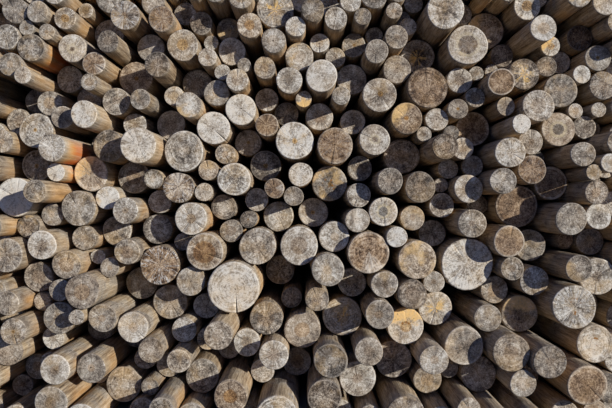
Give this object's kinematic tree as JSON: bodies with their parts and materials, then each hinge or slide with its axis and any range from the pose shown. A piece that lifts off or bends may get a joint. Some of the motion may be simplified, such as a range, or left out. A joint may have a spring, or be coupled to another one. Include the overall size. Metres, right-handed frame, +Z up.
{
  "type": "stack of logs",
  "caption": "Free-standing stack of round pulpwood logs, laid front to back in nooks, with weathered sawn ends standing proud by differing amounts.",
  "frame": {"origin": "middle of the stack's outer box, on the ground", "axes": "+X along the stack's face, from its left end to its right end, +Y from the face to the back along the logs, +Z up"},
  "size_m": [5.5116, 2.37, 2.2152],
  "materials": {
    "logs": "weathered, debarked, sawn ends"
  },
  "bodies": {
    "root": {"course_01": "logs", "course_02": "logs", "course_03": "logs", "course_04": "logs", "course_05": "logs", "course_06": "logs", "course_07": "logs", "course_08": "logs", "course_09": "logs", "course_10": "logs", "course_11": "logs", "course_12": "logs", "course_13": "logs", "course_14": "logs", "course_15": "logs", "course_16": "logs", "course_17": "logs"}
  },
  "joints": []
}
